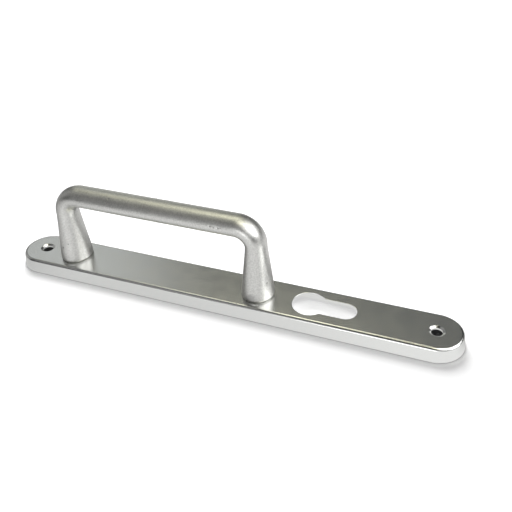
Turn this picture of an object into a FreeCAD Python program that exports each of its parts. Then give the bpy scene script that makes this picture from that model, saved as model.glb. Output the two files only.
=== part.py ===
import FreeCAD, Part
import math
import os
import Sketcher
from types import SimpleNamespace

# Pull handle on a long cover plate with a lock cylinder cut-out, for a balcony or patio door.
# It lies on its back: X runs along the plate, Y across it, and Z points out of the door's face.
# The origin is the middle of the plate's foot, on the door's face.

os.makedirs("parts", exist_ok=True)
Vector = FreeCAD.Vector
doc = FreeCAD.newDocument("WindowHandle")

# Driving dimensions, in millimetres, and in degrees where the note says so.
DIMENSIONS = [
    ("plate_length", 250.0, "foot of the plate, end to end"),
    ("plate_width", 28.4, "foot of the plate, side to side"),
    ("plate_height", 7.6, "door face to the plate's top"),
    ("plate_draft", 8.5, "lean of the side walls, degrees"),
    ("sheet_thickness", 1.4, "sheet that the plate is pressed from"),
    ("outer_edge_radius", 1.6, "rounded edge round the plate's top"),
    ("inner_edge_radius", 0.4, "the same edge, inside the plate"),
    ("foot_edge_radius", 0.3, "worn edge of the foot"),
    ("fixing_pitch", 222.0, "between the two fixing holes"),
    ("fixing_hole_diameter", 5.8, "fixing screw passes through"),
    ("countersink_diameter", 8.0, "mouth of the fixing hole"),
    ("countersink_angle", 112.0, "full angle of the countersink, degrees"),
    ("fixing_land", 0.9, "straight wall under the countersink"),
    ("cylinder_place", 47.5, "plate's middle to the centre of the cylinder's round part"),
    ("cylinder_diameter", 17.7, "round part of the cylinder cut-out"),
    ("cylinder_slot_width", 11.9, "narrow part of the cut-out"),
    ("cylinder_total", 33.3, "whole cut-out, end to end"),
    ("cylinder_corner_radius", 0.4, "corners between the round and the narrow part"),
    ("edge_break", 0.25, "broken edge of the cut-out"),
    ("handle_place", -35.4, "plate's middle to the middle of the handle"),
    ("leg_spacing", 110.3, "between the centres of the two legs"),
    ("leg_base_depth", 17.4, "leg at the plate, along the plate"),
    ("leg_base_width", 19.2, "leg at the plate, across the plate"),
    ("leg_base_radius", 1.6, "rounded edge of the leg's base"),
    ("grip_depth", 10.8, "grip, in the plane of the bow"),
    ("grip_width", 14.2, "grip, across the plane of the bow"),
    ("grip_reach", 39.7, "plate's top to the middle of the grip"),
    ("bend_radius", 9.9, "centre line of the two bends"),
    ("screw_diameter", 5.0, "screws that hold the handle"),
    ("screw_length", 14.0, "under the head"),
    ("screw_tip", 0.6, "bevel at the screw's tip"),
    ("screw_head_diameter", 9.5, "low domed head"),
    ("screw_head_height", 2.75, "low domed head"),
    ("screw_head_rim", 0.5, "straight rim of the head"),
    ("screw_head_flat", 4.6, "diameter of the flat on the dome"),
    ("screw_socket_width", 3.0, "hexagon socket, across flats"),
    ("screw_socket_depth", 1.6, "hexagon socket"),
    ("thread_clearance", 0.05, "round the screw in its tapped hole"),
    ("tapped_depth", 14.0, "tapped hole in the leg"),
    ("screw_hole_clearance", 0.25, "round the screw in the plate"),
    ("flat_washer_diameter", 15.0, "wide washer under the sheet"),
    ("flat_washer_thickness", 1.2, "wide washer"),
    ("spring_washer_diameter", 9.2, "split washer under the head"),
    ("spring_washer_thickness", 1.2, "split washer, pressed flat"),
    ("spring_washer_gap", 0.9, "slit of the split washer"),
    ("spring_washer_slant", 0.8, "slit's shift from the bottom to the top"),
    ("washer_clearance", 0.15, "round the screw in both washers"),
]

sheet = doc.addObject("Spreadsheet::Sheet", "Dimensions")
for row, (name, value, note) in enumerate(DIMENSIONS, start=1):
    sheet.set(f"A{row}", name)
    sheet.set(f"B{row}", str(value))
    sheet.set(f"C{row}", note)
    sheet.setAlias(f"B{row}", name)
doc.recompute()


class Size:
    """A length or angle: its value now, and the formula that keeps it tied to the sheet."""

    def __init__(self, value, formula=None):
        self.value = value
        self.formula = formula or repr(value)

    def __add__(self, other):
        other = as_size(other)
        return Size(self.value + other.value, f"({self.formula} + {other.formula})")

    def __sub__(self, other):
        other = as_size(other)
        return Size(self.value - other.value, f"({self.formula} - {other.formula})")

    def __mul__(self, other):
        other = as_size(other)
        return Size(self.value * other.value, f"({self.formula} * {other.formula})")

    def __truediv__(self, other):
        other = as_size(other)
        return Size(self.value / other.value, f"({self.formula} / {other.formula})")

    def __neg__(self):
        return self * -1.0


def as_size(thing):
    return thing if isinstance(thing, Size) else Size(float(thing))


def cosine(angle):
    return Size(math.cos(math.radians(angle.value)), f"cos({angle.formula} * 1deg)")


def tangent(angle):
    return Size(math.tan(math.radians(angle.value)), f"tan({angle.formula} * 1deg)")


size = SimpleNamespace()
for name, value, note in DIMENSIONS:
    setattr(size, name, Size(float(sheet.get(name)), f"Dimensions.{name}"))
zero = Size(0.0)

# How near two places must be to count as one.
TOUCH = 1e-4

# Heights where the leg's section is set, as shares of its height, and where its taper starts to ease.
LEG_STATIONS = (0.0, 0.45, 0.9, 0.95, 1.0)
LEG_EASE = 0.9

# Places and sizes that several pieces share.
ceiling = size.plate_height - size.sheet_thickness
leg_height = size.grip_reach - size.bend_radius
left_leg = size.handle_place - size.leg_spacing / 2
right_leg = size.handle_place + size.leg_spacing / 2
screw_hole_radius = size.screw_diameter / 2 + size.screw_hole_clearance
washer_hole_radius = size.screw_diameter / 2 + size.washer_clearance


def tie(thing, path, length):
    thing.setExpression(path, length.formula)


def new_body(label):
    body = doc.addObject("PartDesign::Body", label)
    body.Label = label
    return body


def own_plane(body, role):
    return next(plane for plane in body.Origin.OriginFeatures if plane.Role == role)


def new_sketch(body, name, plane="XY_Plane", height=zero):
    """An empty sketch on one of the body's own planes, lifted to a height."""
    sketch = body.newObject("Sketcher::SketchObject", name)
    sketch.AttachmentSupport = [(own_plane(body, plane), "")]
    sketch.MapMode = "FlatFace"
    tie(sketch, "AttachmentOffset.Base.z", height)
    return sketch


def constrain(sketch, kind, *where):
    """Adds one constraint. If the last entry is a Size, the constraint is tied to it."""
    *places, last = where
    if not isinstance(last, Size):
        sketch.addConstraint(Sketcher.Constraint(kind, *where))
        return
    index = sketch.addConstraint(Sketcher.Constraint(kind, *places, last.value))
    tie(sketch, f"Constraints[{index}]", last)


def place_point(sketch, geometry, point, across, up):
    """Ties one point of a sketch to its two distances from the sketch's origin."""
    constrain(sketch, "DistanceX", -1, 1, geometry, point, across)
    constrain(sketch, "DistanceY", -1, 1, geometry, point, up)


def arc_about(across, up, radius, first, last):
    """An arc by its centre, radius and two angles in degrees."""
    whole = Part.Circle(Vector(across, up, 0), Vector(0, 0, 1), radius)
    return Part.ArcOfCircle(whole, math.radians(first), math.radians(last))


def circle(sketch, across, radius):
    """A circle on the sketch's X axis."""
    whole = Part.Circle(Vector(across.value, 0, 0), Vector(0, 0, 1), radius.value)
    index = sketch.addGeometry(whole, False)
    place_point(sketch, index, 3, across, zero)
    constrain(sketch, "Radius", index, radius)


def stadium(sketch, start, end, radius):
    """Two straight sides between two half circles whose centres, on the X axis, are start and end."""
    a, b, r = start.value, end.value, radius.value
    right = sketch.addGeometry(arc_about(b, 0, r, -90, 90), False)
    left = sketch.addGeometry(arc_about(a, 0, r, 90, 270), False)
    top = sketch.addGeometry(Part.LineSegment(Vector(a, r, 0), Vector(b, r, 0)), False)
    bottom = sketch.addGeometry(Part.LineSegment(Vector(a, -r, 0), Vector(b, -r, 0)), False)
    constrain(sketch, "Tangent", top, 2, right, 2)
    constrain(sketch, "Tangent", top, 1, left, 1)
    constrain(sketch, "Tangent", bottom, 2, right, 1)
    constrain(sketch, "Tangent", bottom, 1, left, 2)
    place_point(sketch, right, 3, end, zero)
    place_point(sketch, left, 3, start, zero)
    constrain(sketch, "Radius", right, radius)


def ellipse(sketch, across, half_depth, half_width):
    """An oval with its long axis across the plate."""
    x, p, q = across.value, half_depth.value, half_width.value
    oval = Part.Ellipse(Vector(x, q, 0), Vector(x + p, 0, 0), Vector(x, 0, 0))
    index = sketch.addGeometry(oval, False)
    sketch.exposeInternalGeometry(index)
    long_axis, short_axis = index + 1, index + 2
    constrain(sketch, "Vertical", long_axis)
    place_point(sketch, index, 3, across, zero)
    constrain(sketch, "Distance", long_axis, half_width * 2)
    constrain(sketch, "Distance", short_axis, half_depth * 2)


def outline(sketch, corners, dome=None):
    """Straight sides through corners. The side numbered dome is an arc centred on the Y axis instead."""
    points = [Vector(across.value, up.value, 0) for across, up in corners]
    sides = []
    for i, (first, last) in enumerate(zip(points, points[1:] + points[:1])):
        side = Part.LineSegment(first, last)
        if i == dome:
            up = (last.Length ** 2 - first.Length ** 2) / (last.y - first.y) / 2
            angles = [math.degrees(math.atan2(end.y - up, end.x)) for end in (first, last)]
            side = arc_about(0, up, math.hypot(first.x, first.y - up), *angles)
        sides.append(sketch.addGeometry(side, False))
    for i, (across, up) in enumerate(corners):
        constrain(sketch, "Coincident", sides[i - 1], 2, sides[i], 1)
        place_point(sketch, sides[i], 1, across, up)
    if dome is not None:
        constrain(sketch, "PointOnObject", sides[dome], 3, -2)


def extrude(body, kind, name, sketch, length, upwards, taper=None):
    """A pad or a pocket of a given length, up or down from its sketch."""
    before = body.Shape.Volume if body.Tip else 0.0
    feature = body.newObject(f"PartDesign::{kind}", name)
    feature.Profile = sketch
    feature.Reversed = upwards if kind == "Pocket" else not upwards
    tie(feature, "Length", length)
    if taper:
        tie(feature, "TaperAngle", taper)
    doc.recompute()
    if (feature.Shape.Volume > before) != (kind == "Pad"):
        raise ValueError(f"{name} changes nothing")
    return feature


def edges_of(feature, test):
    """Names of the edges of a feature that pass a test."""
    return [f"Edge{i}" for i, edge in enumerate(feature.Shape.Edges, start=1) if test(edge)]


def flat_at(height, inside=None):
    """A test for edges that lie flat at one height, and within a reach along X where one is given."""
    def test(edge):
        box = edge.BoundBox
        level = max(abs(box.ZMin - height.value), abs(box.ZMax - height.value)) < TOUCH
        return level and (inside is None or inside[0].value < box.XMin and box.XMax < inside[1].value)
    return test


def fillet(body, name, feature, edges, radius):
    rounding = body.newObject("PartDesign::Fillet", name)
    rounding.Base = (feature, edges)
    tie(rounding, "Radius", radius)
    doc.recompute()
    return rounding


def mirror(body, name, feature):
    """Repeats a feature on the other side of the body's YZ plane."""
    copy = body.newObject("PartDesign::Mirrored", name)
    copy.Originals = [feature]
    copy.MirrorPlane = (own_plane(body, "YZ_Plane"), [""])
    body.Tip = copy
    doc.recompute()
    return copy


def make_cover_plate():
    """Pressed plate, open behind: side walls with draft, a rounded top edge, holes pressed and punched."""
    body = new_body("cover_plate")
    half_straight = (size.plate_length - size.plate_width) / 2
    foot = new_sketch(body, "Foot")
    stadium(foot, -half_straight, half_straight, size.plate_width / 2)
    block = extrude(body, "Pad", "Block", foot, size.plate_height, True, taper=-size.plate_draft)
    top = fillet(body, "TopEdge", block, edges_of(block, flat_at(size.plate_height)), size.outer_edge_radius)
    fillet(body, "FootEdge", top, edges_of(top, flat_at(zero)), size.foot_edge_radius)

    inside = new_sketch(body, "Inside")
    wall_at_foot = size.sheet_thickness / cosine(size.plate_draft)
    stadium(inside, -half_straight, half_straight, size.plate_width / 2 - wall_at_foot)
    hollow = extrude(body, "Pocket", "Hollow", inside, ceiling, True, taper=-size.plate_draft)
    fillet(body, "CeilingEdge", hollow, edges_of(hollow, flat_at(ceiling)), size.inner_edge_radius)
    make_fixing_holes(body)
    make_screw_holes(body)
    make_cylinder_cutout(body)


def make_fixing_holes(body):
    """A countersunk hole near each end, its collar pressed down into the hollow."""
    place = size.fixing_pitch / 2
    depth = (size.countersink_diameter - size.fixing_hole_diameter) / 2 / tangent(size.countersink_angle / 2)
    collar = new_sketch(body, "Collar", height=size.plate_height - depth - size.fixing_land)
    circle(collar, place, size.countersink_diameter / 2)
    mirror(body, "CollarCopy", extrude(body, "Pad", "CollarPad", collar, size.fixing_land + depth / 2, True))
    hole = new_sketch(body, "FixingHole", height=size.plate_height)
    circle(hole, place, size.fixing_hole_diameter / 2)
    mirror(body, "FixingHoleCopy", extrude(body, "Pocket", "FixingHoleCut", hole, size.plate_height, False))

    cone = body.newObject("PartDesign::SubtractiveCone", "Countersink")
    cone.AttachmentSupport = [(own_plane(body, "XY_Plane"), "")]
    cone.MapMode = "FlatFace"
    tie(cone, "AttachmentOffset.Base.x", place)
    tie(cone, "AttachmentOffset.Base.z", size.plate_height - depth)
    tie(cone, "Radius1", size.fixing_hole_diameter / 2)
    tie(cone, "Radius2", size.countersink_diameter / 2)
    tie(cone, "Height", depth)
    doc.recompute()
    mirror(body, "CountersinkCopy", cone)


def make_screw_holes(body):
    """The two holes that the legs hide."""
    holes = new_sketch(body, "ScrewHoles", height=size.plate_height)
    circle(holes, left_leg, screw_hole_radius)
    circle(holes, right_leg, screw_hole_radius)
    extrude(body, "Pocket", "ScrewHolesCut", holes, size.plate_height, False)


def make_cylinder_cutout(body):
    """The keyhole-shaped cut-out: a round part and a narrow part with a round end."""
    place = size.cylinder_place
    round_part = new_sketch(body, "CylinderRound", height=size.plate_height)
    circle(round_part, place, size.cylinder_diameter / 2)
    extrude(body, "Pocket", "CylinderRoundCut", round_part, size.plate_height, False)
    narrow_part = new_sketch(body, "CylinderSlot", height=size.plate_height)
    start = place - size.cylinder_diameter / 2
    end = start + size.cylinder_total
    stadium(narrow_part, place, end - size.cylinder_slot_width / 2, size.cylinder_slot_width / 2)
    cut = extrude(body, "Pocket", "CylinderSlotCut", narrow_part, size.plate_height, False)

    def corner(edge):
        box = edge.BoundBox
        upright = box.XLength < TOUCH and box.YLength < TOUCH
        return upright and place.value < box.XMin < (end - size.cylinder_slot_width / 2).value - TOUCH

    cut = fillet(body, "CylinderCorners", cut, edges_of(cut, corner), size.cylinder_corner_radius)
    rim = edges_of(cut, flat_at(size.plate_height, inside=(start - TOUCH, end + TOUCH)))
    fillet(body, "CutoutEdge", cut, rim, size.edge_break)


def leg_share(place):
    """How much of the change from base to grip the leg has made: even at first, then easing to nothing."""
    slope = 2 / (1 + LEG_EASE)
    eased = max(0.0, place - LEG_EASE)
    return slope * place - slope * eased ** 2 / (2 * (1 - LEG_EASE))


def make_pull_handle():
    """One casting: two tapered oval legs, two bends and an oval grip. Its own origin is on the plate."""
    body = new_body("pull_handle")
    half_spacing = size.leg_spacing / 2
    sections = []
    for number, place in enumerate(LEG_STATIONS):
        section = new_sketch(body, f"LegSection{number}", height=leg_height * place)
        share = leg_share(place)
        half_depth = (size.leg_base_depth + (size.grip_depth - size.leg_base_depth) * share) / 2
        half_width = (size.leg_base_width + (size.grip_width - size.leg_base_width) * share) / 2
        ellipse(section, -half_spacing, half_depth, half_width)
        sections.append(section)
    leg = body.newObject("PartDesign::AdditiveLoft", "Leg")
    leg.Profile = sections[0]
    leg.Sections = sections[1:]
    doc.recompute()
    mirror(body, "LegCopy", leg)

    path = new_sketch(body, "GripPath", plane="XZ_Plane")
    make_grip_path(path, half_spacing)
    section = new_sketch(body, "GripSection", height=leg_height)
    ellipse(section, -half_spacing, size.grip_depth / 2, size.grip_width / 2)
    grip = body.newObject("PartDesign::AdditivePipe", "Grip")
    grip.Profile = section
    grip.Spine = (path, [])
    doc.recompute()
    fillet(body, "LegBaseEdge", grip, edges_of(grip, flat_at(zero)), size.leg_base_radius)

    tapped = new_sketch(body, "TappedHoles")
    for side in (-half_spacing, half_spacing):
        circle(tapped, side, size.screw_diameter / 2 + size.thread_clearance)
    extrude(body, "Pocket", "TappedHolesCut", tapped, size.tapped_depth, True)
    tie(body, "Placement.Base.x", size.handle_place)
    tie(body, "Placement.Base.z", size.plate_height)


def make_grip_path(path, half_spacing):
    """The centre line of the grip: up from one leg, over and down to the other."""
    bend = size.bend_radius
    x, z, r = (half_spacing - bend).value, leg_height.value, bend.value
    left = path.addGeometry(arc_about(-x, z, r, 90, 180), False)
    right = path.addGeometry(arc_about(x, z, r, 0, 90), False)
    run = path.addGeometry(Part.LineSegment(Vector(-x, z + r, 0), Vector(x, z + r, 0)), False)
    constrain(path, "Tangent", left, 1, run, 1)
    constrain(path, "Tangent", run, 2, right, 2)
    place_point(path, left, 3, bend - half_spacing, leg_height)
    place_point(path, left, 2, -half_spacing, leg_height)
    place_point(path, right, 3, half_spacing - bend, leg_height)
    constrain(path, "DistanceY", -1, 1, right, 1, leg_height)


def make_screw(label, leg):
    """Button head screw. Its own origin is under the head, with the shank upwards."""
    body = new_body(label)
    profile = new_sketch(body, "Profile", plane="XZ_Plane")
    shank, head = size.screw_diameter / 2, size.screw_head_diameter / 2
    outline(profile, [
        (zero, -size.screw_head_height),
        (size.screw_head_flat / 2, -size.screw_head_height),
        (head, -size.screw_head_rim),
        (head, zero),
        (shank, zero),
        (shank, size.screw_length - size.screw_tip),
        (shank - size.screw_tip, size.screw_length),
        (zero, size.screw_length),
    ], dome=1)
    turned = body.newObject("PartDesign::Revolution", "Turned")
    turned.Profile = profile
    turned.ReferenceAxis = (profile, ["V_Axis"])
    doc.recompute()
    socket = new_sketch(body, "Socket", height=-size.screw_head_height)
    reach = size.screw_socket_width / 2 / cosine(Size(30.0))
    angles = [math.radians(60 * i) for i in range(6)]
    outline(socket, [(reach * round(math.cos(a), 9), reach * round(math.sin(a), 9)) for a in angles])
    extrude(body, "Pocket", "SocketCut", socket, size.screw_socket_depth, True)
    tie(body, "Placement.Base.x", leg)
    tie(body, "Placement.Base.z", ceiling - size.flat_washer_thickness - size.spring_washer_thickness)


def make_washer(label, leg, diameter, thickness, top):
    """A ring round a screw, with its upper face at a height below the sheet."""
    body = new_body(label)
    ring = new_sketch(body, "Ring")
    circle(ring, zero, diameter / 2)
    circle(ring, zero, washer_hole_radius)
    extrude(body, "Pad", "RingPad", ring, thickness, True)
    tie(body, "Placement.Base.x", leg)
    tie(body, "Placement.Base.z", top - thickness)
    return body


def make_spring_washer(label, leg):
    """A washer with a slanted slit."""
    thickness = size.spring_washer_thickness
    top = ceiling - size.flat_washer_thickness
    body = make_washer(label, leg, size.spring_washer_diameter, thickness, top)
    slit = new_sketch(body, "Slit", plane="XZ_Plane")
    half_gap, half_slant = size.spring_washer_gap / 2, size.spring_washer_slant / 2
    outline(slit, [
        (-half_gap - half_slant, zero),
        (half_gap - half_slant, zero),
        (half_gap + half_slant, thickness),
        (half_slant - half_gap, thickness),
    ])
    extrude(body, "Pocket", "SlitCut", slit, size.spring_washer_diameter, True)


def check_and_write():
    """Stops if anything failed, then writes each piece to a file of its own name."""
    doc.recompute()
    for thing in doc.Objects:
        if {"Invalid", "Error"} & set(thing.State):
            raise ValueError(f"{thing.Label} failed")
    for body in doc.findObjects("PartDesign::Body"):
        shape = body.Shape
        if shape.isNull() or not shape.isValid() or len(shape.Solids) != 1:
            raise ValueError(f"{body.Label} isn't one valid solid")
        shape.exportStep(f"parts/{body.Label}.step")
        print(body.Label, round(shape.Volume, 2), "mm3")


make_cover_plate()
make_pull_handle()
for side, leg in (("left", left_leg), ("right", right_leg)):
    make_screw(f"handle_screw_{side}", leg)
    make_spring_washer(f"spring_washer_{side}", leg)
    make_washer(f"flat_washer_{side}", leg, size.flat_washer_diameter, size.flat_washer_thickness, ceiling)
check_and_write()
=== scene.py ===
import math
from functools import partial
import bmesh
import bpy
from mathutils import Matrix, Vector


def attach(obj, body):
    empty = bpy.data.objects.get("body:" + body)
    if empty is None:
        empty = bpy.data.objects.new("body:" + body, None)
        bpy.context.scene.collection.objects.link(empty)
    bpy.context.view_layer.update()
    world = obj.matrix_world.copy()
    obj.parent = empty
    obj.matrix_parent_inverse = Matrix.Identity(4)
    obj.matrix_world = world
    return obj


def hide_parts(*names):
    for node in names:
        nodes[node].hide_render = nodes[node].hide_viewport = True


# Pull handle on a long cover plate: finishes, the handle and its screws in finer form, floor, light and
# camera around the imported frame.

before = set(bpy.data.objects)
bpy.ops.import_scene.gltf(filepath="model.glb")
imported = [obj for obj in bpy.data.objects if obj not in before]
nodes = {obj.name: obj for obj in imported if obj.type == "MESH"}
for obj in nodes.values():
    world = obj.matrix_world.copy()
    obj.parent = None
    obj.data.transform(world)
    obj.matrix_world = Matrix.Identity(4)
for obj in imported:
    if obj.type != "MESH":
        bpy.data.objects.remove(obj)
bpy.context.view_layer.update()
print("frame loaded:", len(nodes), "pieces")


# Small helpers for node trees. An input is a plain value or another node's socket.

def addNode(tree, kind, inputs=None, **settings):
    node = tree.nodes.new(kind)
    for name, value in settings.items():
        setattr(node, name, value)
    for name, value in (inputs or {}).items():
        if isinstance(value, bpy.types.NodeSocket):
            tree.links.new(value, node.inputs[name])
        else:
            node.inputs[name].default_value = value
    return node


def calc(tree, operation, *values):
    return addNode(tree, "ShaderNodeMath", dict(enumerate(values)), operation=operation).outputs[0]


def vectorCalc(tree, operation, *values, result="Vector"):
    inputs = dict(enumerate(values))
    return addNode(tree, "ShaderNodeVectorMath", inputs, operation=operation).outputs[result]


def scaled(tree, vector, factor):
    inputs = {0: vector, "Scale": factor}
    return addNode(tree, "ShaderNodeVectorMath", inputs, operation="SCALE").outputs["Vector"]


def axes(tree, vector):
    return addNode(tree, "ShaderNodeSeparateXYZ", {0: vector}).outputs


def ramp(tree, value, low, high, toLow=0.0, toHigh=1.0, smooth=True):
    kind = "SMOOTHSTEP" if smooth else "LINEAR"
    inputs = {"Value": value, "From Min": low, "From Max": high, "To Min": toLow, "To Max": toHigh}
    return addNode(tree, "ShaderNodeMapRange", inputs, interpolation_type=kind).outputs["Result"]


def newGroup(name, kind, inputs, outputs):
    group = bpy.data.node_groups.new(name, kind + "NodeTree")
    for direction, sockets in (("INPUT", inputs), ("OUTPUT", outputs)):
        for label, sort in sockets.items():
            group.interface.new_socket(label, in_out=direction, socket_type="NodeSocket" + sort)
    given = group.nodes.new("NodeGroupInput").outputs
    leave = group.nodes.new("NodeGroupOutput").inputs
    return group, given, leave


# Grain that all the finishes share: fine bumps, slightly coarser flecks and large soft clouds.
metalGrain = {
    "fine": {"Detail": 3.0, "Roughness": 0.6},
    "fleck": {"Detail": 2.0, "Roughness": 0.5},
    "fleckShare": 0.85,
    "cloud": {"Scale": 130.0, "Detail": 4.0},
}


def buildGrainGroup():
    inputs = {"Place": "Vector", "Scale": "Float", "Stretch": "Float"}
    outputs = {"Height": "Float", "Cloud": "Float", "Fleck": "Float"}
    group, given, leave = newGroup("metalGrain", "Shader", inputs, outputs)
    stretch = addNode(group, "ShaderNodeCombineXYZ", {"X": given["Stretch"], "Y": 1.0, "Z": 1.0})
    place = vectorCalc(group, "MULTIPLY", given["Place"], stretch.outputs["Vector"])
    coarser = calc(group, "MULTIPLY", given["Scale"], metalGrain["fleckShare"])
    noises = {
        "Height": {"Vector": place, "Scale": given["Scale"], **metalGrain["fine"]},
        "Fleck": {"Vector": place, "Scale": coarser, **metalGrain["fleck"]},
        "Cloud": {"Vector": given["Place"], **metalGrain["cloud"]},
    }
    for label, settings in noises.items():
        noise = addNode(group, "ShaderNodeTexNoise", settings)
        group.links.new(noise.outputs["Fac"], leave[label])
    return group


grain = buildGrainGroup()
noiseLow, noiseHigh = 0.3, 0.7  # most of a noise lies between these


def newMetal(name, finish, darkening=None):
    material = bpy.data.materials.new(name)
    material.use_nodes = True
    tree = material.node_tree
    shader = tree.nodes["Principled BSDF"].inputs
    place = tree.nodes.new("ShaderNodeTexCoord").outputs["Object"]
    inputs = {"Place": place, "Scale": finish["grainScale"], "Stretch": finish["grainStretch"]}
    effect = addNode(tree, "ShaderNodeGroup", inputs, node_tree=grain).outputs
    roughness = ramp(tree, effect["Cloud"], noiseLow, noiseHigh, finish["smoothest"], finish["roughest"])
    tone = ramp(tree, effect["Fleck"], noiseLow, noiseHigh, 1.0 - finish["tone"], 1.0 + finish["tone"])
    # darkening: painted shade in pits, and darker marks, for a finish that has them
    if darkening:
        tone = calc(tree, "MULTIPLY", tone, darkening(tree, place))
    tree.links.new(scaled(tree, finish["colour"], tone), shader["Base Color"])
    shader["Metallic"].default_value = 1.0
    tree.links.new(roughness, shader["Roughness"])
    if finish["grainDepth"] > 0.0:
        inputs = {"Height": effect["Height"], "Distance": finish["grainDepth"]}
        tree.links.new(addNode(tree, "ShaderNodeBump", inputs).outputs["Normal"], shader["Normal"])
    return material


# Cover plate: satin anodised, nearly smooth.
plateFinish = {
    "colour": (0.745, 0.75, 0.735),
    "smoothest": 0.225,
    "roughest": 0.255,
    "tone": 0.008,
    "grainScale": 2600.0,
    "grainStretch": 0.3,
    "grainDepth": 0.0000003,
}

# Handle: a satin casting, with a visible grain, small pits and a few marks.
castFinish = {
    "colour": (0.61, 0.61, 0.59),
    "smoothest": 0.36,
    "roughest": 0.43,
    "tone": 0.1,
    "grainScale": 1500.0,
    "grainStretch": 1.0,
    "grainDepth": 0.000028,
}
castPits = {
    "scale": 210.0,
    "share": 0.2,  # of the cells, those that hold a pit
    "reach": 0.16,  # the largest pit, in cells
    "least": 0.001,
    # darkCore and tone: the colour at each pit's core is darkened, painted shade in the pit
    "darkCore": 0.45,
    "deepCore": 0.5,
    "tone": 0.3,
}

# The pits and darker patches seen on the handle, where they lie. A patch with no depth is colour alone; the
# darkening at each pit is painted shade.
handlePlace = {"x": -0.0354, "z": 0.0076}
markCore = 0.35
castMarks = {
    "leftLegPit": {"place": (-0.0925, -0.0085, 0.0171), "radius": 0.0007, "dark": 0.8, "deep": 0.00025},
    "leftLegSpeck": {"place": (-0.0887, -0.0082, 0.0199), "radius": 0.0005, "dark": 0.65, "deep": 0.0002},
    "gripPit": {"place": (-0.0014, -0.0069, 0.0484), "radius": 0.0006, "dark": 0.6, "deep": 0.0002},
    "gripSpeck": {"place": (0.0005, -0.007, 0.048), "radius": 0.0005, "dark": 0.5, "deep": 0.00015},
    "gripDent": {"place": (0.0029, -0.007, 0.0482), "radius": 0.0007, "dark": 0.5, "deep": 0.0002},
    "gripGrain": {"place": (0.0041, -0.0069, 0.0486), "radius": 0.0005, "dark": 0.4, "deep": 0.0001},
    # Darker patches with no depth: by the right leg's foot, and on the right bend.
    "rightLegFootDark": {"place": (0.0195, -0.0096, 0.0104), "radius": 0.0036, "dark": 0.32, "deep": 0.0},
    "bendDark": {"place": (0.0216, -0.0051, 0.0444), "radius": 0.0024, "dark": 0.35, "deep": 0.0},
}


# Both covers serve the finish and the mesh, so that painted shade darkens the colour in each pit.

def pitCover(tree, place, core):
    cells = addNode(tree, "ShaderNodeTexVoronoi", {"Vector": place, "Scale": castPits["scale"]}).outputs
    chosen = axes(tree, cells["Color"])["X"]
    reach = ramp(tree, chosen, 1.0 - castPits["share"], 1.0, 0.0, castPits["reach"], smooth=False)
    across = calc(tree, "DIVIDE", cells["Distance"], calc(tree, "MAXIMUM", reach, castPits["least"]))
    return ramp(tree, across, core, 1.0, 1.0, 0.0)


def markCover(tree, place, measure):
    cover = 0.0
    for mark in castMarks.values():
        apart = vectorCalc(tree, "DISTANCE", place, mark["place"], result="Value")
        spot = ramp(tree, apart, markCore * mark["radius"], mark["radius"], mark[measure], 0.0)
        cover = calc(tree, "MAXIMUM", cover, spot)
    return cover


def castPitShadeAndMarks(tree, place):
    centre = (-handlePlace["x"], 0.0, -handlePlace["z"])
    centred = addNode(tree, "ShaderNodeMapping", {"Vector": place, "Location": centre}).outputs["Vector"]
    # Painted shade: the colour darkens at each pit's core; the marks darken it too.
    pit = pitCover(tree, centred, castPits["darkCore"])
    dark = ramp(tree, pit, 0.0, 1.0, 1.0, castPits["tone"], smooth=False)
    marked = calc(tree, "SUBTRACT", 1.0, markCover(tree, place, "dark"))
    return calc(tree, "MULTIPLY", dark, marked)


# Screws and washers: plated steel.
platedFinish = {
    "colour": (0.70, 0.71, 0.73),
    "smoothest": 0.25,
    "roughest": 0.35,
    "tone": 0.05,
    "grainScale": 1500.0,
    "grainStretch": 1.0,
    "grainDepth": 0.0,
}

finishes = {
    "anodised_plate": newMetal("anodisedPlate", plateFinish),
    "cast_handle": newMetal("castHandle", castFinish, castPitShadeAndMarks),
    "plated_steel": newMetal("platedSteel", platedFinish),
}
ownFinish = {"cover_plate": "anodised_plate", "pull_handle": "cast_handle"}
for name, piece in nodes.items():
    for slot in piece.material_slots:
        slot.material = finishes[ownFinish.get(name, "plated_steel")]
print("finishes set")


# Pull handle: one casting, swept by Geometry Nodes along its U, with the unevenness that a casting has.
pullHandle = {
    "form": {
        "Half Spacing": 0.05515,
        "Reach": 0.0397,
        "Bend Radius": 0.0099,
        "Foot Edge": 0.0016,
        "Base Depth": 0.0174,
        "Base Width": 0.0192,
        "Grip Depth": 0.0108,
        "Grip Width": 0.0142,
        "Leg Ease": 0.9,
        "Relief": 0.00007,
        "Pit Depth": 0.00022,
    },
    "bore": {"radius": 0.00255, "depth": 0.014},
    "mesh": {"Along": 561, "Around": 145},
    "merge": 1e-6,
    "sharpAngle": 0.9,
    "lumps": {"Scale": 170.0, "Detail": 3.0, "Roughness": 0.55},
    "plainBelow": 0.001,
    "unevenAbove": 0.004,
}
handleForm = pullHandle["form"]


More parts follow.
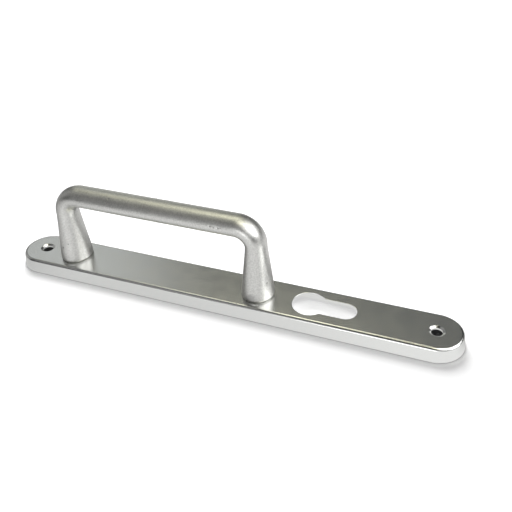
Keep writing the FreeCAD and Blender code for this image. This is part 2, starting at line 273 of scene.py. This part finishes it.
def bowPlace(group, given):
    work = partial(calc, group)
    flat = axes(group, group.nodes.new("GeometryNodeInputPosition").outputs[0])
    half, bend, foot, ease = (given[k] for k in ("Half Spacing", "Bend Radius", "Foot Edge", "Leg Ease"))
    quarter = math.pi / 2

    # The way from the plate up a leg, round the bend and to the grip's middle.
    legHeight = work("SUBTRACT", given["Reach"], bend)
    bendStart = work("ADD", work("MULTIPLY", foot, quarter - 1), legHeight)
    bendEnd = work("ADD", bendStart, work("MULTIPLY", bend, quarter))
    length = work("ADD", bendEnd, work("SUBTRACT", half, bend))
    fromMiddle = work("MULTIPLY", work("ABSOLUTE", flat["X"]), 2.0)
    walked = work("MULTIPLY", length, work("SUBTRACT", 1.0, fromMiddle))

    # The foot's rounded edge, then the leg, which thins towards the bend.
    footTurn = work("MINIMUM", work("DIVIDE", walked, foot), quarter)
    footRise = work("MULTIPLY", foot, work("SUBTRACT", 1.0, work("COSINE", footTurn)))
    inset = work("MULTIPLY", foot, work("SUBTRACT", 1.0, work("SINE", footTurn)))
    straight = work("MAXIMUM", work("SUBTRACT", walked, work("MULTIPLY", foot, quarter)), 0.0)
    rise = work("ADD", footRise, straight)
    climbed = work("MINIMUM", work("DIVIDE", rise, legHeight), 1.0)
    late = work("MAXIMUM", work("SUBTRACT", climbed, ease), 0.0)
    easeLength = work("MULTIPLY", 2.0, work("SUBTRACT", 1.0, ease))
    eased = work("DIVIDE", work("MULTIPLY", late, late), easeLength)
    slope = work("DIVIDE", 2.0, work("ADD", 1.0, ease))
    share = work("MULTIPLY", slope, work("SUBTRACT", climbed, eased))

    def halfAcross(base, end):
        change = work("MULTIPLY", share, work("SUBTRACT", end, base))
        return work("SUBTRACT", work("MULTIPLY", work("ADD", base, change), 0.5), inset)

    halfDepth = halfAcross(given["Base Depth"], given["Grip Depth"])
    halfWidth = halfAcross(given["Base Width"], given["Grip Width"])

    # The middle line, and the oval around it.
    past = work("MAXIMUM", work("SUBTRACT", walked, bendStart), 0.0)
    turn = work("MINIMUM", work("DIVIDE", past, bend), quarter)
    run = work("MAXIMUM", work("SUBTRACT", walked, bendEnd), 0.0)
    bendIn = work("MULTIPLY", bend, work("SUBTRACT", 1.0, work("COSINE", turn)))
    lineX = work("SUBTRACT", work("ADD", bendIn, run), half)
    lineZ = work("ADD", work("MINIMUM", rise, legHeight), work("MULTIPLY", bend, work("SINE", turn)))
    angle = work("MULTIPLY", work("ADD", flat["Y"], 0.5), 2 * math.pi)
    outward = work("MULTIPLY", halfDepth, work("COSINE", angle))
    side = work("MULTIPLY", work("SIGN", flat["X"]), -1.0)
    x = work("MULTIPLY", work("SUBTRACT", lineX, work("MULTIPLY", outward, work("COSINE", turn))), side)
    y = work("MULTIPLY", halfWidth, work("SINE", angle))
    z = work("ADD", lineZ, work("MULTIPLY", outward, work("SINE", turn)))
    return addNode(group, "ShaderNodeCombineXYZ", {"X": x, "Y": y, "Z": z}).outputs[0]


def castOffset(group, given):
    work = partial(calc, group)
    here = group.nodes.new("GeometryNodeInputPosition").outputs[0]
    lumps = addNode(group, "ShaderNodeTexNoise", {"Vector": here, **pullHandle["lumps"]}).outputs["Fac"]
    lump = work("MULTIPLY", work("SUBTRACT", lumps, 0.5), given["Relief"])
    pit = work("MULTIPLY", pitCover(group, here, castPits["deepCore"]), given["Pit Depth"])
    onPart = vectorCalc(group, "ADD", here, (handlePlace["x"], 0.0, handlePlace["z"]))
    pitted = work("ADD", pit, markCover(group, onPart, "deep"))
    fade = ramp(group, axes(group, here)["Z"], pullHandle["plainBelow"], pullHandle["unevenAbove"])
    shift = work("MULTIPLY", work("SUBTRACT", lump, pitted), fade)
    return scaled(group, group.nodes.new("GeometryNodeInputNormal").outputs[0], shift)


def coatMesh(group, geometry, material, leave):
    real = addNode(group, "GeometryNodeRealizeInstances", {"Geometry": geometry})
    coated = addNode(group, "GeometryNodeSetMaterial", {"Geometry": real.outputs[0], "Material": material})
    group.links.new(coated.outputs[0], leave["Geometry"])


def buildBowGroup():
    inputs = {**dict.fromkeys(pullHandle["mesh"], "Int"), **dict.fromkeys(handleForm, "Float")}
    inputs["Material"] = "Material"
    group, given, leave = newGroup("castBow", "Geometry", inputs, {"Geometry": "Geometry"})
    sizes = {"Size X": 1.0, "Size Y": 1.0, "Vertices X": given["Along"], "Vertices Y": given["Around"]}
    sheet = addNode(group, "GeometryNodeMeshGrid", sizes).outputs["Mesh"]
    inputs = {"Geometry": sheet, "Position": bowPlace(group, given)}
    formed = addNode(group, "GeometryNodeSetPosition", inputs).outputs[0]
    inputs = {"Geometry": formed, "Distance": pullHandle["merge"]}
    joined = addNode(group, "GeometryNodeMergeByDistance", inputs).outputs[0]
    inputs = {"Geometry": joined, "Offset": castOffset(group, given)}
    cast = addNode(group, "GeometryNodeSetPosition", inputs).outputs[0]
    smooth = addNode(group, "GeometryNodeSetShadeSmooth", {"Geometry": cast}).outputs[0]
    coatMesh(group, smooth, given["Material"], leave)
    return group


def plainFromNodes(name, group, values):
    holder = bpy.data.objects.new(name, bpy.data.meshes.new(name + "Holder"))
    bpy.context.scene.collection.objects.link(holder)
    modifier = holder.modifiers.new("form", "NODES")
    modifier.node_group = group
    for item in group.interface.items_tree:
        if item.item_type == "SOCKET" and item.in_out == "INPUT":
            modifier[item.identifier] = values[item.name]
    graph = bpy.context.evaluated_depsgraph_get()
    mesh = bpy.data.meshes.new_from_object(holder.evaluated_get(graph))
    holder.modifiers.remove(modifier)
    holder.data = mesh
    return holder


def closeLeg(form, edges, centre):
    ring = {vertex for edge in edges for vertex in edge.verts}
    base = min(vertex.co.z for vertex in ring)
    ordered = sorted(ring, key=lambda vertex: math.atan2(vertex.co.y, vertex.co.x - centre))
    depth, width = handleForm["Base Depth"], handleForm["Base Width"]
    angles = [math.atan2(vertex.co.y / width, (vertex.co.x - centre) / depth) for vertex in ordered]
    radius, deep = pullHandle["bore"]["radius"], pullHandle["bore"]["depth"]
    previous = ordered
    for height in (base, base + deep):
        points = [(centre + radius * math.cos(a), radius * math.sin(a), height) for a in angles]
        level = [form.verts.new(point) for point in points]
        for i, vertex in enumerate(level):
            form.faces.new((previous[i - 1], previous[i], vertex, level[i - 1])).smooth = True
        previous = level
    bottom = form.verts.new((centre, 0.0, base + deep))
    for i, vertex in enumerate(previous):
        form.faces.new((previous[i - 1], vertex, bottom)).smooth = True


def makeHandle():
    values = {**handleForm, **pullHandle["mesh"], "Material": finishes["cast_handle"]}
    piece = plainFromNodes("castPullHandle", buildBowGroup(), values)
    form = bmesh.new()
    form.from_mesh(piece.data)
    openEdges = [edge for edge in form.edges if edge.is_boundary]
    for centre in (-handleForm["Half Spacing"], handleForm["Half Spacing"]):
        closeLeg(form, [edge for edge in openEdges if edge.verts[0].co.x * centre > 0], centre)
    bmesh.ops.recalc_face_normals(form, faces=form.faces)
    for edge in form.edges:
        if edge.calc_face_angle(0.0) > pullHandle["sharpAngle"]:
            edge.smooth = False
    bmesh.ops.translate(form, verts=form.verts, vec=(handlePlace["x"], 0.0, handlePlace["z"]))
    loose = sum(1 for edge in form.edges if not edge.is_manifold)
    form.to_mesh(piece.data)
    form.free()
    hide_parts("pull_handle")
    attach(piece, "root")
    print("handle made:", len(piece.data.polygons), "faces,", loose, "open edges")


makeHandle()


# Screws: the same button heads as in the CAD, with the hexagon socket's lead-in and a real thread on a core.
buttonScrew = {
    "headRadius": 0.00475,
    "headHeight": 0.00275,
    "rim": 0.0005,
    "flatRadius": 0.0023,
    "domeSteps": 12,
    "socketAcross": 0.003,
    "socketDepth": 0.0016,
    "socketCone": 0.0002,
    "length": 0.014,
    "softEdge": 0.00012,
    "tipLength": 0.00045,
    "tipTaper": 0.0002,
    "tipEdge": 0.00005,
    "tipInset": 0.0003,
    "around": 96,
    "sharpAngle": 0.6,
    "seat": 0.0038,
    "thread": {
        "Core": 0.00206,
        "Start": 0.0006,
        "Pitch": 0.0008,
        "Turns": 16.2,
        "Sunk": 0.00006,
        "Crest": 0.00044,
        "Root Width": 0.0007,
        "Crest Width": 0.00011,
    },
    "threadSteps": 48,
    "threadRunIn": 0.03,
    "threadRunOut": 0.94,
    "threadThin": 0.15,
}
threadForm = buttonScrew["thread"]


def buildThreadGroup():
    inputs = {**dict.fromkeys(threadForm, "Float"), "Material": "Material"}
    group, given, leave = newGroup("screwThread", "Geometry", inputs, {"Geometry": "Geometry"})
    sizes = {
        "Resolution": buttonScrew["threadSteps"],
        "Rotations": given["Turns"],
        "Start Radius": given["Core"],
        "End Radius": given["Core"],
        "Height": calc(group, "MULTIPLY", given["Pitch"], given["Turns"]),
    }
    spiral = addNode(group, "GeometryNodeCurveSpiral", sizes).outputs[0]
    lift = addNode(group, "ShaderNodeCombineXYZ", {"Z": given["Start"]}).outputs[0]
    lifted = addNode(group, "GeometryNodeSetPosition", {"Geometry": spiral, "Offset": lift}).outputs[0]
    upright = addNode(group, "GeometryNodeSetCurveNormal", {"Curve": lifted}, mode="Z_UP").outputs[0]
    along = group.nodes.new("GeometryNodeSplineParameter").outputs["Factor"]
    first = ramp(group, along, 0.0, buttonScrew["threadRunIn"], buttonScrew["threadThin"], 1.0)
    last = ramp(group, along, buttonScrew["threadRunOut"], 1.0, 1.0, buttonScrew["threadThin"])
    inputs = {"Curve": upright, "Radius": calc(group, "MULTIPLY", first, last)}
    thinned = addNode(group, "GeometryNodeSetCurveRadius", inputs).outputs[0]
    profile = addNode(group, "GeometryNodeCurvePrimitiveQuadrilateral", mode="POINTS")
    crest = calc(group, "MULTIPLY", given["Crest"], -1.0)
    corners = (
        (given["Sunk"], given["Root Width"], -0.5),
        (crest, given["Crest Width"], -0.5),
        (crest, given["Crest Width"], 0.5),
        (given["Sunk"], given["Root Width"], 0.5),
    )
    for number, (out, width, share) in enumerate(corners, start=1):
        inputs = {"X": out, "Y": calc(group, "MULTIPLY", width, share)}
        corner = addNode(group, "ShaderNodeCombineXYZ", inputs).outputs[0]
        group.links.new(corner, profile.inputs[f"Point {number}"])
    inputs = {"Curve": thinned, "Profile Curve": profile.outputs[0], "Fill Caps": True}
    ridge = addNode(group, "GeometryNodeCurveToMesh", inputs).outputs[0]
    coatMesh(group, ridge, given["Material"], leave)
    return group


def hexagonRadius(angle):
    third = math.pi / 3
    return buttonScrew["socketAcross"] / 2 / math.cos(angle % third - third / 2)


def screwProfile():
    head, flat, height = (buttonScrew[k] for k in ("headRadius", "flatRadius", "headHeight"))
    rim, soft, length = (buttonScrew[k] for k in ("rim", "softEdge", "length"))
    core = threadForm["Core"]
    middle = (head ** 2 - flat ** 2 + rim ** 2 - height ** 2) / (2 * (height - rim))
    dome = math.hypot(flat, middle - height)
    first, last = math.atan2(flat, height - middle), math.atan2(head, rim - middle)
    steps = buttonScrew["domeSteps"]
    points = [(flat - soft, -height)]
    for i in range(steps + 1):
        turn = first + (last - first) * i / steps
        points.append((dome * math.sin(turn), -middle - dome * math.cos(turn)))
    points += [(head, -rim + soft), (head, -soft), (head - soft, 0.0)]
    points += [(core + 2 * soft, 0.0), (core, 2 * soft), (core, length - buttonScrew["tipLength"])]
    points += [(core - buttonScrew["tipTaper"], length - buttonScrew["tipEdge"])]
    points += [(core - buttonScrew["tipInset"], length)]
    return points


def makeScrew(side, centre, group):
    values = {**threadForm, "Material": finishes["plated_steel"]}
    piece = plainFromNodes("buttonHeadScrew" + side.title(), group, values)
    form = bmesh.new()
    form.from_mesh(piece.data)
    around, height, lead = buttonScrew["around"], buttonScrew["headHeight"], buttonScrew["softEdge"]
    bottom = buttonScrew["socketDepth"] - height
    angles = [2 * math.pi * i / around for i in range(around)]
    mouth = buttonScrew["socketAcross"] / 2 / math.cos(math.pi / 6) + lead
    outlines = [([hexagonRadius(a) for a in angles], level) for level in (bottom, lead - height)]
    outlines += [([radius] * around, level) for radius, level in [(mouth, -height)] + screwProfile()]
    levels = []
    for radii, level in outlines:
        ring = [(r * math.cos(a), r * math.sin(a), level) for r, a in zip(radii, angles)]
        levels.append([form.verts.new(point) for point in ring])
    for previous, level in zip(levels, levels[1:]):
        for i in range(around):
            form.faces.new((previous[i - 1], previous[i], level[i], level[i - 1]))
    ends = ((levels[0], bottom + buttonScrew["socketCone"]), (levels[-1], buttonScrew["length"]))
    for level, rise in ends:
        middle = form.verts.new((0.0, 0.0, rise))
        for i in range(around):
            form.faces.new((level[i - 1], level[i], middle))
    bmesh.ops.recalc_face_normals(form, faces=form.faces)
    for face in form.faces:
        face.smooth = True
    for edge in form.edges:
        if edge.calc_face_angle(0.0) > buttonScrew["sharpAngle"]:
            edge.smooth = False
    reach = max(math.hypot(v.co.x, v.co.y) for v in form.verts if v.co.z > threadForm["Start"])
    bmesh.ops.translate(form, verts=form.verts, vec=(centre, 0.0, buttonScrew["seat"]))
    form.to_mesh(piece.data)
    form.free()
    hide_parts("handle_screw_" + side)
    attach(piece, "root")
    print("screw made:", side, len(piece.data.polygons), "faces, thread to", round(reach * 1000, 3), "mm")


threadGroup = buildThreadGroup()
for side, share in (("left", -1), ("right", 1)):
    makeScrew(side, handlePlace["x"] + share * handleForm["Half Spacing"], threadGroup)


# Floor: matt and pale. Its soft glowing fill is painted light, kept out of the holes by painted shade, and
# painted shade draws a thin dark line along the plate's foot. Inside the cut-out it has a painted brightness
# of its own.
# The metal mirrors a plain glowing sheet instead, whose painted level changes from place to place.
floorSettings = {
    "radius": 4.0,
    "colour": (0.85, 0.85, 0.85),
    "fill": 0.47,
    "gloom": 0.014,
    "skyReach": 0.03,
    "contactReach": 0.0022,
}
# sky and contact set the painted shade on the floor; cutoutFill is the painted brightness inside the
# cut-out.
floorBands = {
    "white": {"start": 0.35, "end": 0.8, "first": 0.0, "last": 1.0},  # far out, by the distance
    "sky": {"start": 0.16, "end": 0.23, "first": 0.0, "last": 1.0},  # by the share of open sky
    "contact": {"start": 0.5, "end": 0.9, "first": 0.45, "last": 1.0},
    "cutoutStart": {"start": 0.03, "end": 0.033, "first": 0.0, "last": 1.0},  # along x
    "cutoutEnd": {"start": 0.08, "end": 0.083, "first": 1.0, "last": 0.0},
    "underPlate": {"start": 0.0137, "end": 0.0142, "first": 1.0, "last": 0.0},  # across, to both sides
    "cutoutFill": {"start": 0.0, "end": 0.01, "first": 0.88, "last": 0.6},
}
# Levels of the mirrored sheet: painted light and shade of the floor as the metal sees it, set by place.
mirrorBands = {
    "level": {"start": -0.06, "end": 0.17, "first": 0.79, "last": 1.05},  # along x
    "left": {"start": -0.18, "end": -0.08, "first": 0.68, "last": 1.0},
    "farRight": {"start": 0.16, "end": 0.4, "first": 1.0, "last": 0.35},
    "frontLevel": {"start": -0.03, "end": 0.01, "first": 1.3, "last": 1.08},
    "beside": {"start": 0.1, "end": 0.16, "first": 0.0, "last": 1.0},
    "front": {"start": -0.045, "end": -0.025, "last": 1.0},  # across, from the front level
    "behind": {"start": -0.01, "end": 0.02, "first": 1.0, "last": 0.32},
    "beyond": {"start": 0.032, "end": 0.048, "first": 0.0, "last": 1.05},
    "inCutout": {"start": 0.012, "end": 0.016, "first": 1.0, "last": 0.0},
}


def band(tree, value, limits, **changed):
    levels = {**limits, **changed}
    return ramp(tree, value, levels["start"], levels["end"], levels["first"], levels["last"])


def alongCutout(tree, along):
    start = band(tree, along, floorBands["cutoutStart"])
    return calc(tree, "MULTIPLY", start, band(tree, along, floorBands["cutoutEnd"]))


# Painted reflection: the glowing sheet's brightness by place, dimmer just behind the plate, lit in the
# cut-out.
def floorMirrored(tree, place):
    where = axes(tree, place)
    level = band(tree, where["X"], mirrorBands["level"])
    for name in ("left", "farRight"):
        level = calc(tree, "MULTIPLY", level, band(tree, where["X"], mirrorBands[name]))
    frontLevel = band(tree, where["X"], mirrorBands["frontLevel"])
    front = band(tree, where["Y"], mirrorBands["front"], first=frontLevel)
    beside = band(tree, where["X"], mirrorBands["beside"])
    acrossCutout = band(tree, where["Y"], mirrorBands["inCutout"])
    light = calc(tree, "MULTIPLY", alongCutout(tree, where["X"]), acrossCutout)
    for name in ("beyond", "behind"):
        light = calc(tree, "MAXIMUM", light, band(tree, where["Y"], mirrorBands[name]))
    light = calc(tree, "MAXIMUM", light, beside)
    return calc(tree, "MULTIPLY", level, calc(tree, "MULTIPLY", front, light))


# Painted shade from ambient occlusion: low by the plate's foot, in the holes and under the plate.
def floorOpenness(tree):
    shades = []
    for name, reach in (("sky", "skyReach"), ("contact", "contactReach")):
        free = addNode(tree, "ShaderNodeAmbientOcclusion", {"Distance": floorSettings[reach]}).outputs["AO"]
        shades.append(band(tree, free, floorBands[name]))
    return calc(tree, "MULTIPLY", *shades)


# The floor's glow is painted light: the fill times the painted shade, never below a faint gloom, a painted
# brightness inside the cut-out, and white far out.
def floorGlow(tree, place, openness):
    where = axes(tree, place)
    under = band(tree, calc(tree, "ABSOLUTE", where["Y"]), floorBands["underPlate"])
    inside = calc(tree, "MULTIPLY", alongCutout(tree, where["X"]), under)
    cutout = calc(tree, "MULTIPLY", inside, band(tree, where["Y"], floorBands["cutoutFill"]))
    fill = calc(tree, "MULTIPLY", openness, floorSettings["fill"])
    near = calc(tree, "MAXIMUM", calc(tree, "MAXIMUM", fill, floorSettings["gloom"]), cutout)
    away = vectorCalc(tree, "LENGTH", place, result="Value")
    return calc(tree, "MAXIMUM", near, band(tree, away, floorBands["white"]))


def makeFloor():
    bpy.ops.mesh.primitive_circle_add(vertices=96, radius=floorSettings["radius"], fill_type="NGON")
    floor = bpy.context.object
    floor.name = "floor"
    material = bpy.data.materials.new("paleFloor")
    material.use_nodes = True
    tree = material.node_tree
    tree.nodes.clear()
    output = tree.nodes.new("ShaderNodeOutputMaterial")
    place = tree.nodes.new("ShaderNodeTexCoord").outputs["Object"]
    openness = floorOpenness(tree)
    # Painted shade: the floor's colour darkens where the sky is blocked, by the plate's foot and under it.
    colour = scaled(tree, floorSettings["colour"], openness)
    matt = addNode(tree, "ShaderNodeBsdfDiffuse", {"Color": colour}).outputs[0]
    glow = addNode(tree, "ShaderNodeEmission", {"Strength": floorGlow(tree, place, openness)}).outputs[0]
    seen = addNode(tree, "ShaderNodeAddShader", {0: matt, 1: glow}).outputs[0]
    mirrored = addNode(tree, "ShaderNodeEmission", {"Strength": floorMirrored(tree, place)}).outputs[0]
    glossy = tree.nodes.new("ShaderNodeLightPath").outputs["Is Glossy Ray"]
    above = addNode(tree, "ShaderNodeMixShader", {0: glossy, 1: seen, 2: mirrored}).outputs[0]
    under = tree.nodes.new("ShaderNodeNewGeometry").outputs["Backfacing"]
    clear = tree.nodes.new("ShaderNodeBsdfTransparent").outputs[0]
    sided = addNode(tree, "ShaderNodeMixShader", {0: under, 1: above, 2: clear}).outputs[0]
    tree.links.new(sided, output.inputs["Surface"])
    floor.data.materials.append(material)


makeFloor()
print("floor made")


# Studio: a dark room with soft panels, which the metal mirrors. It is plain white where the camera sees it.
# Azimuths run from x towards y, in degrees.
roomLevel = (0.004, 0.004, 0.004)
plainWhite, warmWhite = (1.0, 1.0, 1.0), (1.0, 0.98, 0.76)
greenish, coolWhite = (0.97, 1.0, 0.93), (0.96, 0.99, 1.0)
roomPanels = {
    "windowRight": {"azimuth": 6.0, "elevation": 29.5, "spread": 20.5, "level": 5.0, "tint": plainWhite},
    "windowCorner": {"azimuth": 35.0, "elevation": 45.0, "spread": 19.5, "level": 3.0, "tint": plainWhite},
    "windowSill": {"azimuth": -16.0, "elevation": 20.0, "spread": 17.0, "level": 1.6, "tint": plainWhite},
    "windowTop": {"azimuth": -15.0, "elevation": 36.0, "spread": 22.0, "level": 1.3, "tint": plainWhite},
    "windowHigh": {"azimuth": -32.0, "elevation": 50.0, "spread": 21.0, "level": 2.7, "tint": plainWhite},
    "wallFront": {"azimuth": -62.0, "elevation": 20.0, "spread": 22.0, "level": 0.7, "tint": plainWhite},
    "wallFrontLow": {"azimuth": -105.0, "elevation": 22.0, "spread": 16.0, "level": 0.6, "tint": plainWhite},
    "lowFront": {"azimuth": -90.0, "elevation": 4.0, "spread": 19.0, "level": 4.0, "tint": plainWhite},
    "lowBack": {"azimuth": 120.0, "elevation": 4.0, "spread": 19.0, "level": 0.85, "tint": greenish},
    "ceiling": {"azimuth": 10.0, "elevation": 79.0, "spread": 16.0, "level": 4.5, "tint": warmWhite},
    "ceilingRight": {"azimuth": 15.0, "elevation": 60.0, "spread": 24.0, "level": 1.2, "tint": plainWhite},
    "ceilingBack": {"azimuth": 122.0, "elevation": 60.0, "spread": 18.0, "level": 2.35, "tint": warmWhite},
    "ceilingLeft": {"azimuth": 180.0, "elevation": 62.0, "spread": 22.0, "level": 0.3, "tint": plainWhite},
    "wallLeft": {"azimuth": 175.0, "elevation": 22.0, "spread": 32.0, "level": 0.4, "tint": plainWhite},
    "wallCorner": {"azimuth": 235.0, "elevation": 42.0, "spread": 22.0, "level": 0.35, "tint": plainWhite},
    "cardBackLeft": {"azimuth": 133.5, "elevation": 33.0, "spread": 13.5, "level": 0.67, "tint": coolWhite},
    "cardBack": {"azimuth": 100.0, "elevation": 37.0, "spread": 26.0, "level": 0.13, "tint": coolWhite},
}


def towards(settings):
    azimuth, elevation = math.radians(settings["azimuth"]), math.radians(settings["elevation"])
    flat = math.cos(elevation)
    return Vector((flat * math.cos(azimuth), flat * math.sin(azimuth), math.sin(elevation)))


def makeRoom():
    world = bpy.data.worlds.new("room")
    bpy.context.scene.world = world
    world.use_nodes = True
    tree = world.node_tree
    tree.nodes.clear()
    output = tree.nodes.new("ShaderNodeOutputWorld")
    direction = tree.nodes.new("ShaderNodeTexCoord").outputs["Generated"]
    light = roomLevel
    for panel in roomPanels.values():
        near = vectorCalc(tree, "DOT_PRODUCT", direction, towards(panel), result="Value")
        edge = math.cos(math.radians(panel["spread"]))
        glow = ramp(tree, near, edge, 1.0, 0.0, panel["level"])
        light = vectorCalc(tree, "MULTIPLY_ADD", glow, panel["tint"], light)
    mirrored = addNode(tree, "ShaderNodeBackground", {"Color": light}).outputs[0]
    plain = addNode(tree, "ShaderNodeBackground", {"Color": (*plainWhite, 1.0)}).outputs[0]
    camera = tree.nodes.new("ShaderNodeLightPath").outputs["Is Camera Ray"]
    shown = addNode(tree, "ShaderNodeMixShader", {0: camera, 1: mirrored, 2: plain}).outputs[0]
    tree.links.new(shown, output.inputs["Surface"])
    world.cycles_visibility.diffuse = False


# Lamp: it lights the floor alone, from behind and to the left, and gives the plate its short soft shadow.
# Only the plate blocks it.
lampSettings = {
    "azimuth": 119.0,
    "elevation": 40.0,
    "distance": 1.2,
    "size": 0.9,
    "power": 22.5,
}


def makeLamp():
    way = towards(lampSettings)
    data = bpy.data.lights.new("floorLamp", "AREA")
    data.shape = "DISK"
    data.size = lampSettings["size"]
    data.energy = lampSettings["power"]
    lamp = bpy.data.objects.new("floorLamp", data)
    turn = way.to_track_quat("Z", "Y").to_matrix().to_4x4()
    lamp.matrix_world = Matrix.Translation(way * lampSettings["distance"]) @ turn
    lamp.visible_glossy = False
    lamp.visible_camera = False
    blockers = bpy.data.collections.new("lampBlockers")
    blockers.objects.link(nodes["cover_plate"])
    lamp.light_linking.blocker_collection = blockers
    bpy.context.scene.collection.objects.link(lamp)


makeRoom()
makeLamp()
print("studio made")


# Camera: it circles a point on the floor. Its azimuth runs as the panels' do.
cameraSettings = {
    "azimuth": -67.182,
    "elevation": 35.373,
    "roll": -2.588,
    "distance": 0.388918,
    "aim": (0.002593, 0.039959, 0.0),
    "lens": 47.355,
    "sensor": 36.0,
    "near": 0.01,
    "far": 20.0,
}


def makeCamera():
    back = towards(cameraSettings)
    level = (-back).cross(Vector((0, 0, 1))).normalized()
    upright = level.cross(-back)
    roll = math.radians(cameraSettings["roll"])
    right = level * math.cos(roll) + upright * math.sin(roll)
    up = upright * math.cos(roll) - level * math.sin(roll)
    data = bpy.data.cameras.new("camera")
    data.lens = cameraSettings["lens"]
    data.sensor_width = cameraSettings["sensor"]
    data.clip_start, data.clip_end = cameraSettings["near"], cameraSettings["far"]
    camera = bpy.data.objects.new("camera", data)
    place = Vector(cameraSettings["aim"]) + back * cameraSettings["distance"]
    turn = Matrix((right, up, back)).transposed().to_4x4()
    camera.matrix_world = Matrix.Translation(place) @ turn
    bpy.context.scene.collection.objects.link(camera)
    bpy.context.scene.camera = camera


makeCamera()
bpy.context.scene.view_settings.view_transform = "Standard"
print("camera set")
